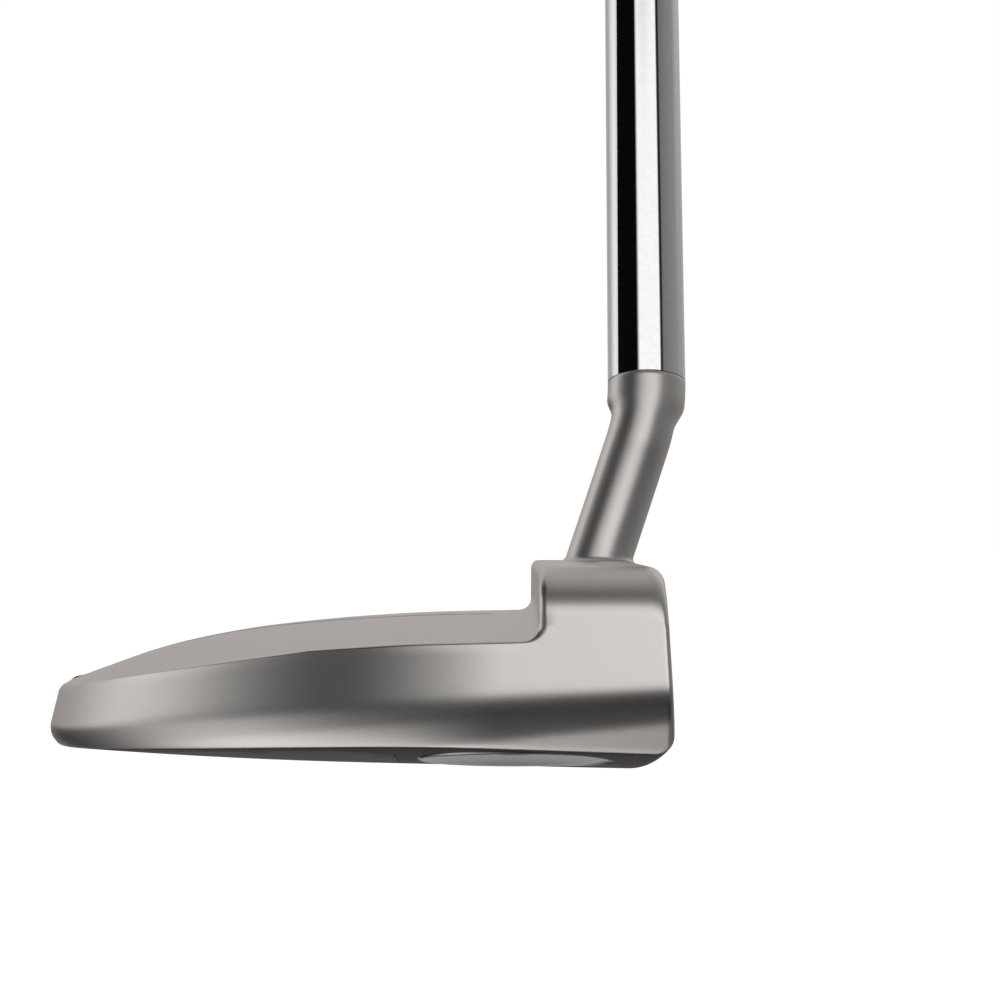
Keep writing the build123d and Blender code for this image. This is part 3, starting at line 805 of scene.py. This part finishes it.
WEIGHT_X, WEIGHT_Y, WEIGHT_TILT = 1.6, 38.0, math.radians(7.73)
WEIGHT_Z = 2.3918
FLANGE_RADIUS, FLANGE_THICKNESS, SHANK_RADIUS, SHANK_LENGTH = 10.3, 2.6, 8.4, 6.8
WASHER, WEIGHT_CLEARANCE = 0.6, 0.05
SEAT_CHAMFER, SHANK_CHAMFER = 0.28, 0.6
DISH_RADIUS, DISH_REACH, KEY_WIDTH, KEY_DEPTH, THREAD_PITCH, THREAD_DEPTH = 60.0, 9.4, 4.0, 2.2, 1.0, 0.3
THREAD_RUN_IN, THREAD_RUN_OUT = 0.8, 0.3  # lengths over which the thread starts and ends


def weight_place(side):
    """The weight's own frame: z out of the sole along its axis, origin flush with the sole."""
    out = Vector((0, side * math.sin(WEIGHT_TILT), -math.cos(WEIGHT_TILT)))
    x = Vector((1, 0, 0))
    y = out.cross(x)
    turn = Matrix((x, y, out)).transposed().to_4x4()
    return Matrix.Translation(Vector((WEIGHT_X, side * WEIGHT_Y, WEIGHT_Z)) * MM) @ turn


def weight_hole(side):
    wide, bore = FLANGE_RADIUS + WEIGHT_CLEARANCE, SHANK_RADIUS + WEIGHT_CLEARANCE
    step = -FLANGE_THICKNESS - WASHER
    bottom = step - SHANK_LENGTH
    profile = [(0, bottom), (bore - 0.4, bottom), (bore, bottom + 0.4), (bore, step), (wide, step),
               (wide, -SEAT_CHAMFER), (wide + SEAT_CHAMFER, 0.0), (wide + SEAT_CHAMFER, 3), (0, 3)]
    return joined("hole", [(turned(profile, 128), 0)], [finish_of["satin_steel"]], place=weight_place(side))


def weight(name, side):
    sag = DISH_RADIUS - math.sqrt(DISH_RADIUS**2 - DISH_REACH**2)
    dish = [(r, DISH_RADIUS - sag - math.sqrt(DISH_RADIUS**2 - r * r)) for r in np.linspace(0, DISH_REACH, 14)]
    top = dish + [(DISH_REACH + 0.12, 0.0), (FLANGE_RADIUS - 0.3, 0.0), (FLANGE_RADIUS - 0.09, -0.09),
                  (FLANGE_RADIUS, -0.3), (FLANGE_RADIUS, -FLANGE_THICKNESS + 0.2),
                  (FLANGE_RADIUS - 0.2, -FLANGE_THICKNESS), (SHANK_RADIUS, -FLANGE_THICKNESS)]
    end = -FLANGE_THICKNESS - WASHER - SHANK_LENGTH + 0.2
    heights = np.linspace(-FLANGE_THICKNESS, end + SHANK_CHAMFER, 64)
    thread = turned([(1, h) for h in heights], 96)
    turn = np.linspace(0, 2 * math.pi, 97)
    for row, h in zip(thread, heights):
        fade = min(1, (-FLANGE_THICKNESS - h) / THREAD_RUN_IN, (h - end - SHANK_CHAMFER) / THREAD_RUN_OUT)
        phase = (h / THREAD_PITCH - turn / (2 * math.pi)) % 1
        radius = SHANK_RADIUS - THREAD_DEPTH * max(fade, 0) * (1 - abs(2 * phase - 1))
        row[:, :2] *= radius[:, None]
    foot = [(SHANK_RADIUS, end + SHANK_CHAMFER), (SHANK_RADIUS - SHANK_CHAMFER, end), (0, end)]
    steel = [finish_of["polished_steel"]]
    made = joined(name, [(turned(p, 96), 0) for p in (top, foot)] + [(thread, 0)], steel)
    cut(made, hexagon(KEY_WIDTH, -KEY_DEPTH - sag, 2, steel), sharp=32)
    made.matrix_world = weight_place(side)
    return made


# ---------------------------------------------------------------- neck and shaft

LIE = math.radians(72)
SHAFT_WAY = np.array([0, math.cos(LIE), math.sin(LIE)])
SHAFT_GROUND = np.array([18.5, 22.7, 0])
NECK_BASE, NECK_RADIUS, SPIGOT, ELBOW_AT, JOINT_AT = np.array([12.2, 30.0, 22.4]), 4.0, 9.5, 42.7, 47.1
COLLAR_RADIUS, POST_RADIUS, POST_LENGTH, BASE_FILLET = 4.9, 4.1, 22.0, 0.6
NECK_CHAMFER = 0.4  # on the ends of the spigot and the post
NECK_BEND = 4.5  # how far from the elbow its curve starts
SWELL_FROM, SWELL_OVER = 0.34, 0.36  # shares of the curve where the neck widens to the collar


def shaft_point(s):
    return SHAFT_GROUND + SHAFT_WAY * s


def neck():
    elbow = shaft_point(ELBOW_AT)
    way = elbow - NECK_BASE
    run = np.linalg.norm(way)
    way /= run
    step = COLLAR_RADIUS - NECK_RADIUS  # the neck's toe side comes out flush with the collar's
    start, stop = elbow - way * NECK_BEND, elbow + SHAFT_WAY * (JOINT_AT - ELBOW_AT)
    x = np.array([1.0, 0, 0])
    turn = np.linspace(0, 2 * math.pi, 97)

    def ring(centre, along, radius, shift=0.0):
        across_x = x - along * (x @ along)
        across_x /= np.linalg.norm(across_x)
        across_y = np.cross(along, across_x)
        round_it = np.cos(turn)[:, None] * across_x + np.sin(turn)[:, None] * across_y
        points = centre - shift * across_y + radius * round_it
        points[-1] = points[0]
        return points

    spigot = ((SPIGOT, 0.0), (SPIGOT, NECK_RADIUS - NECK_CHAMFER), (SPIGOT - NECK_CHAMFER, NECK_RADIUS))
    rings = [ring(NECK_BASE - way * depth, way, radius) for depth, radius in spigot]
    for lift in (-2.0, 0.0, 0.02, 0.06, 0.13, 0.22, 0.33, 0.46, BASE_FILLET):
        inside = max(0.0, min(1.0, 1 - lift / BASE_FILLET))
        flare = NECK_RADIUS + (BASE_FILLET * (1 - math.sqrt(1 - inside**2)) if lift >= 0 else 0)
        points = ring(NECK_BASE, way, flare)
        level = top_height(points[:, 0], points[:, 1]) + lift
        points += ((level - points[:, 2]) / way[2])[:, None] * way
        rings.append(points)
    for t in np.linspace(0.12, 1, 12):
        rings.append(ring(between(NECK_BASE, start, t), way, NECK_RADIUS, step * t * t))
    for t in np.linspace(0, 1, 19)[1:]:
        centre = (1 - t) ** 2 * start + 2 * t * (1 - t) * elbow + t * t * stop
        along = between(way, SHAFT_WAY, t)
        along /= np.linalg.norm(along)
        swell = np.clip((t - SWELL_FROM) / SWELL_OVER, 0, 1)
        radius = NECK_RADIUS + (COLLAR_RADIUS - NECK_RADIUS) * swell * swell * (3 - 2 * swell)
        rings.append(ring(centre, along, radius, COLLAR_RADIUS - radius))
    rings[-1] = ring(stop - SHAFT_WAY * 0.1, SHAFT_WAY, COLLAR_RADIUS)
    post = ((COLLAR_RADIUS - 0.1, 0), (POST_RADIUS, 0), (POST_RADIUS, POST_LENGTH - NECK_CHAMFER),
            (POST_RADIUS - NECK_CHAMFER, POST_LENGTH), (0, POST_LENGTH))
    rings += [ring(stop + SHAFT_WAY * s, SHAFT_WAY, radius) for radius, s in post]
    return joined("neck", [(np.array(rings), 0)], [finish_of["satin_steel_neck"]], sharp=60)


BLADE_RADIUS, FLARE_END, BUTT_RADIUS = 4.7, 137.0, 7.4
STEP_COUNT, FIRST_STEP, STEP_PITCH, STEP_RAMP, SHAFT_WALL, SHAFT_END = 12, 240.0, 31.8, 3.0, 0.6, 858.0


def shaft():
    grow = (BUTT_RADIUS - BLADE_RADIUS) / STEP_COUNT
    outer = [(COLLAR_RADIUS - 0.08, JOINT_AT), (COLLAR_RADIUS, JOINT_AT + 0.08), (BLADE_RADIUS, FLARE_END)]
    for i in range(STEP_COUNT):
        s, r = FIRST_STEP + i * STEP_PITCH, BLADE_RADIUS + i * grow
        for t in np.linspace(0, 1, 7):
            outer.append((r + grow * t * t * (3 - 2 * t), s - STEP_RAMP * (1 - t)))
    outer.append((BUTT_RADIUS, SHAFT_END))
    bore = [(r - SHAFT_WALL, s) for r, s in reversed(outer) if s > FLARE_END]
    bore += [(BLADE_RADIUS - SHAFT_WALL, JOINT_AT + POST_LENGTH + 2)]
    bore += [(POST_RADIUS + 0.1, JOINT_AT + POST_LENGTH), (POST_RADIUS + 0.1, JOINT_AT), outer[0]]
    tube = turned(outer + bore, 128, SHAFT_GROUND, SHAFT_WAY)
    return joined("shaft_tube", [(tube, 0)], [finish_of["chrome_steel"]], sharp=40)


# ---------------------------------------------------------------- grip

GRIP_START, GRIP_END, CLUB_LENGTH = 599.0, 861.0, 864.0
GRIP_S = (GRIP_START, 640, 720, 800, 845, GRIP_END)
HALF_WIDTH = (10.3, 10.9, 12.0, 13.2, 13.6, 13.3)
HALF_DEPTH = (10.5, 11.3, 12.6, 14.2, 15.4, 14.6)
FLAT_AT = (9.7, 9.8, 10.2, 10.8, 11.2, 11.0)
SET_BACK = (0.0, 0.0, 0.3, 0.9, 1.6, 1.4)
GRIP_COLUMNS = 120
WRAP_PITCH = 21.0  # along the grip from one turn of the wrap's groove to the next
WRAP_DEPTH, WRAP_WIDTH, WRAP_SWELL = 0.55, 0.75, 0.14
WRAP_FADE = 4.0  # over which the groove starts and ends
WRAP_ROWS = (0.0, 0.25, 0.5, 0.75, 1.05, 1.5, 2.2, 4.0, 6.5, 9.0, 12.0, 14.5, 17.0, 18.8, 19.5, 19.95, 20.25,
             20.5, 20.75)
END_BAND = 2.0  # plain at each end of the wrap
GRIP_SMOOTHING = 14.0  # half the length that a section is averaged over
FLAT_CORNER = 1.6  # softness of the corners beside the flat
MOUTH_ROUND, BUTT_ROUND, CAP_ROUND, CAP_PLUG = 0.9, 0.35, 1.2, 8.0
CAP_RING = ((8.6, 0), (8.3, 0.06), (8.1, 0.35), (7.5, 0.35), (7.3, 0.06), (7.0, 0))  # (radius, depth)
CORE_RADIUS, MOUTH_RADIUS, TAPE_START, BUTT_PLUG, VENT_RADIUS = 8.8, 7.5, 601.0, 6.7, 1.5


def grip_place(s, x, y):
    """The points x towards the target and y towards the golfer of the shaft's axis at s."""
    s, x, y = np.broadcast_arrays(s, x, y)
    golfer = np.cross(SHAFT_WAY, (1, 0, 0))
    return shaft_point(s[..., None]) + x[..., None] * np.array([1.0, 0, 0]) + y[..., None] * golfer


def grip_angles():
    turn = np.linspace(0, 2 * math.pi, GRIP_COLUMNS + 1)
    turn[-1] = 0.0
    return turn


def grip_section(s, inset):
    """The grip's outline at s, an oval with a softly cornered flat away from the golfer, moved in by inset."""
    spread = np.linspace(-GRIP_SMOOTHING, GRIP_SMOOTHING, 9)
    reach = np.clip(np.asarray(s)[..., None] + spread, GRIP_START, GRIP_END)
    sizes = HALF_WIDTH, HALF_DEPTH, FLAT_AT, SET_BACK
    width, depth, flat, back = (np.interp(reach, GRIP_S, v).mean(-1) for v in sizes)
    turn = grip_angles()
    oval = 1 / np.sqrt((np.cos(turn) / (width - inset)) ** 2 + (np.sin(turn) / (depth - inset)) ** 2)
    level = (flat + back - inset) / np.maximum(-np.sin(turn), 0.05)
    near = np.clip(0.5 + 0.5 * (level - oval) / FLAT_CORNER, 0, 1)
    radius = level * (1 - near) + oval * near - FLAT_CORNER * near * (1 - near)
    return radius * np.cos(turn), radius * np.sin(turn) + back


def grip_ring(s, inset=0.0):
    s = np.full(GRIP_COLUMNS + 1, float(s))
    return grip_place(s, *grip_section(s, inset))


def grip_circle(s, radius):
    turn = grip_angles()
    return grip_place(float(s), radius * np.cos(turn), radius * np.sin(turn))


def rounded_end(s, way, radius):
    """(s, inset) pairs over a rounded rim, from the side wall to the end face at s; way is back along it."""
    turn = np.radians(np.linspace(0, 90, 7))
    return [(s + way * radius * (1 - math.sin(t)), radius * (1 - math.cos(t))) for t in turn]


def grip_skin():
    """A one-piece grip moulded with a spiral wrap's groove; its rows follow the groove."""
    first, last = GRIP_START + END_BAND, GRIP_END - END_BAND
    lead = WRAP_PITCH * np.linspace(0, 1, GRIP_COLUMNS + 1)
    rows = []
    for turn_start in np.arange(first - 2 * WRAP_PITCH, last + WRAP_PITCH, WRAP_PITCH):
        for offset in WRAP_ROWS:
            s = np.clip(turn_start + offset + lead, first, last)
            away = min(offset, WRAP_PITCH - offset)
            fade = np.clip(np.minimum(s - first, last - s) / WRAP_FADE, 0, 1)
            groove = WRAP_DEPTH * math.exp(-((away / WRAP_WIDTH) ** 2)) * fade
            swell = WRAP_SWELL * math.sin(math.pi * offset / WRAP_PITCH) * fade
            rows.append(grip_place(s, *grip_section(s, groove - swell)))
    opening = (TAPE_START, CORE_RADIUS), (TAPE_START, MOUTH_RADIUS), (GRIP_START, MOUTH_RADIUS)
    mouth = [grip_circle(s, radius) for s, radius in opening]
    mouth += [grip_ring(s, inset) for s, inset in reversed(rounded_end(GRIP_START, 1, MOUTH_ROUND))]
    mouth.append(grip_ring(first))
    top = [grip_ring(last)] + [grip_ring(s, inset) for s, inset in rounded_end(GRIP_END, -1, BUTT_ROUND)]
    top += [grip_circle(GRIP_END, CORE_RADIUS)]
    bore = [grip_circle(GRIP_END, CORE_RADIUS), grip_circle(TAPE_START, CORE_RADIUS)]
    patches = [(np.array(each), 0) for each in (mouth, rows, top, bore)]
    return joined("grip", patches, [finish_of["grip_polymer"]], sharp=50)


def grip_cap():
    """The butt cap: a soft rim, a shallow ring, a vent and the plug inside the shaft."""
    rim = [(GRIP_END, 0.3), (GRIP_END + 0.1, 0.1), (GRIP_END + 0.3, 0.0)]
    rim += rounded_end(CLUB_LENGTH, -1, CAP_ROUND)
    rings = [grip_circle(GRIP_END, BUTT_PLUG)] + [grip_ring(s, inset) for s, inset in rim]
    vent = ((1.9, 0), (1.6, 0.1), (VENT_RADIUS, 0.4), (VENT_RADIUS, CLUB_LENGTH - GRIP_END + CAP_PLUG))
    rings += [grip_circle(CLUB_LENGTH - sink, radius) for radius, sink in CAP_RING + vent]
    rings += [grip_circle(GRIP_END - CAP_PLUG, BUTT_PLUG), grip_circle(GRIP_END, BUTT_PLUG)]
    return joined("butt_cap", [(np.array(rings), 0)], [finish_of["cap_rubber"]], sharp=35)


# ---------------------------------------------------------------- the whole club

satin, milled_sole, milled_face = finish_of["satin_steel"], finish_of["milled_sole"], finish_of["milled_face"]
head = joined("head_shell", head_patches(), [satin, milled_sole, milled_face])
recess = follows_sole("recess", plate_outline(PLATE_GAP), -4.0, PLATE_THICKNESS + FILM, [satin])
groove = sight_strip("groove", GROOVE_START, -GROOVE_DEPTH, GROOVE_TOP, [satin])
cut(head, recess, groove, weight_hole(-1), weight_hole(1))
stands_for(head, "putter", "satin_steel", "head_body")
paint_top = PAINT_DEPTH - GROOVE_DEPTH
paint = sight_strip(
    "sight_line", PAINT_START, -GROOVE_DEPTH, paint_top, [finish_of["black_paint"]], PAINT_TAIL_LIFT)
stands_for(paint, "putter", "black_paint", "sight_line_paint")
brushed = finish_of["brushed_aluminium"]
plate = follows_sole("plate", plate_outline(0), 0.0, PLATE_THICKNESS, [brushed], PLATE_CHAMFER)
cut(plate, *[screw_hole(x) for x in SCREW_X])
stands_for(plate, "putter", "brushed_aluminium", "sole_plate")
stands_for(screws(), "putter", "screw_steel", "sole_plate_screws")
for end, side in (("toe", -1), ("heel", 1)):
    stands_for(weight(f"{end}_plug", side), f"{end}_weight", "polished_steel", f"{end}_weight")
stands_for(neck(), "putter", "satin_steel_neck", "slant_neck")
stands_for(shaft(), "putter", "chrome_steel", "shaft")
stands_for(grip_skin(), "putter", "grip_polymer", "grip_skin")
stands_for(grip_cap(), "putter", "cap_rubber", "grip_cap")


# ---------------------------------------------------------------- floor, light and camera

FLOOR_RADIUS, FLOOR_HEIGHT = 6.0, -0.06  # metres


def floor():
    mesh = bpy.data.meshes.new("floor")
    grid = bmesh.new()
    bmesh.ops.create_circle(grid, cap_ends=True, segments=128, radius=FLOOR_RADIUS)
    grid.to_mesh(mesh)
    grid.free()
    made = bpy.data.objects.new("floor", mesh)
    made.location = (0, 0, FLOOR_HEIGHT)
    bpy.context.scene.collection.objects.link(made)
    paint, tree, shader = material("floor_paint", Roughness=0.9, Emission_Strength=0.72)
    shader.inputs["Emission Color"].default_value = (1, 1, 1, 1)
    speckle = noise(tree, stretched(tree, even(40)), detail=3.0)
    put(tree, shader.inputs["Base Color"], tint(tree, speckle, even(0.78), even(0.82)))
    mesh.materials.append(paint)
    made.visible_glossy = False


# The room's brightness in layers from straight down to straight up: where each takes over from the one below it
# (elevations in degrees), then its brightness by azimuth
ROOM = (
    (None, None, ((-180, 2.2), (180, 2.2))),
    (-87, -80, ((-180, 0.15), (-140, 0.2), (-105, 0.5), (-92, 0.85), (-65, 1.0), (-42, 0.95), (-28, 0.7),
                (-14, 0.14), (0, 0.03), (40, 0.03), (90, 0.2), (180, 0.15))),
    (-58, -46, ((-180, 0.1), (-140, 0.12), (-120, 0.2), (-105, 0.5), (-90, 1.0), (-70, 1.25), (-60, 1.0),
                (-46, 0.75), (-30, 0.5), (-15, 0.2), (0, 0.02), (40, 0.03), (90, 0.15), (180, 0.1))),
    (-34, -24, ((-180, 0.42), (-165, 0.36), (-153, 0.03), (-142, 0.03), (-130, 0.06), (-118, 0.12),
                (-100, 0.45), (-81, 0.7), (-61, 0.6), (-50, 0.34), (-40, 0.18), (-26, 0.1), (0, 0.02),
                (40, 0.02), (90, 0.15), (165, 0.36), (180, 0.42))),
    (-3, 3, ((-180, 0.5), (-140, 0.40), (-116, 0.9), (-98, 0.5), (-77, 0.2), (-58, 0.08), (-45, 0.05),
             (-20, 0.03), (30, 0.02), (60, 0.12), (120, 0.3), (180, 0.56))),
    (7, 17, ((-180, 0.54), (-140, 0.52), (-114, 1.05), (-96, 0.8), (-78, 0.32), (-56, 0.06), (-38, 0.04),
             (-12, 0.34), (-2, 1.3), (38, 1.36), (44, 0.02), (53, 0.02), (58, 0.2), (110, 0.3), (150, 0.7),
             (180, 0.54))),
    (30, 34, ((-180, 0.5), (-140, 0.66), (-96, 0.66), (-84, 0.3), (-60, 0.05), (-33, 0.05), (-25, 1.2),
              (45, 1.2), (49, 0.02), (55, 0.02), (59, 0.2), (110, 0.25), (150, 0.7), (180, 0.5))),
    (41, 51, ((-180, 0.5), (-90, 0.34), (-40, 0.12), (0, 0.08), (40, 0.1), (90, 0.24), (180, 0.5))),
    (70, 85, ((-180, 0.34), (180, 0.34))),
)


def studio():
    """The room's light by direction: azimuth 0 is towards the viewer's side, positive to +X."""
    world = bpy.data.worlds.new("studio")
    bpy.context.scene.world = world
    world.use_nodes = True
    tree = world.node_tree
    out = tree.nodes["Background"]
    direction = node(tree, "ShaderNodeTexCoord").outputs["Generated"]
    part = node(tree, "ShaderNodeSeparateXYZ", {0: direction})
    x, y, z = part.outputs
    azimuth = maths(tree, "ARCTAN2", x, maths(tree, "MULTIPLY", y, -1.0))
    turn = span(tree, azimuth, -math.pi, math.pi, smooth=False)
    elevation = maths(tree, "DEGREES", maths(tree, "ARCSINE", z))

    def round_room(stops):
        return ramp(tree, turn, [((a + 180) / 360, v) for a, v in stops])

    for low_edge, high_edge, stops in ROOM:
        layer = round_room(stops)
        if low_edge is None:
            room = layer
        else:
            share = span(tree, elevation, low_edge, high_edge)
            layers = {"Factor": share, 6: room, 7: layer}
            room = node(tree, "ShaderNodeMix", layers, data_type="RGBA").outputs[2]
    seen = node(tree, "ShaderNodeLightPath").outputs["Is Camera Ray"]
    shown = node(tree, "ShaderNodeMix", {"Factor": seen, 6: room}, data_type="RGBA")
    shown.inputs[7].default_value = (1, 1, 1, 1)
    put(tree, out.inputs["Color"], shown.outputs[2])
    out.inputs["Strength"].default_value = 1.0


def flag_card():
    """A black card beside the shaft, above what the head reflects. It is studio equipment, out of the view."""
    near, far, top = (-90.0, -121.0), (-180.0, 76.0), 520.0
    corners = [(*near, 118.0), (*far, 102.0), (*far, top), (*near, top)]
    grid = bmesh.new()
    grid.faces.new([grid.verts.new(Vector(c) * MM) for c in corners])
    black, _, shader = material("card_felt", Roughness=1.0)
    shader.inputs["Base Color"].default_value = (0.004, 0.004, 0.004, 1)
    shader.inputs["Specular IOR Level"].default_value = 0.0
    card = finished("flag_card", grid, [black])
    card.visible_camera = card.visible_diffuse = card.visible_shadow = False


def camera():
    data = bpy.data.cameras.new("camera")
    data.lens, data.sensor_width = 135.0, 36.0
    data.clip_start, data.clip_end = 0.05, 60.0
    made = bpy.data.objects.new("camera", data)
    made.location = (0.0, -0.436, 0.03004)
    made.rotation_euler = (math.radians(90), 0, 0)
    bpy.context.scene.collection.objects.link(made)
    bpy.context.scene.camera = made


floor()
flag_card()
studio()
camera()
bpy.context.scene.view_settings.view_transform = "Standard"
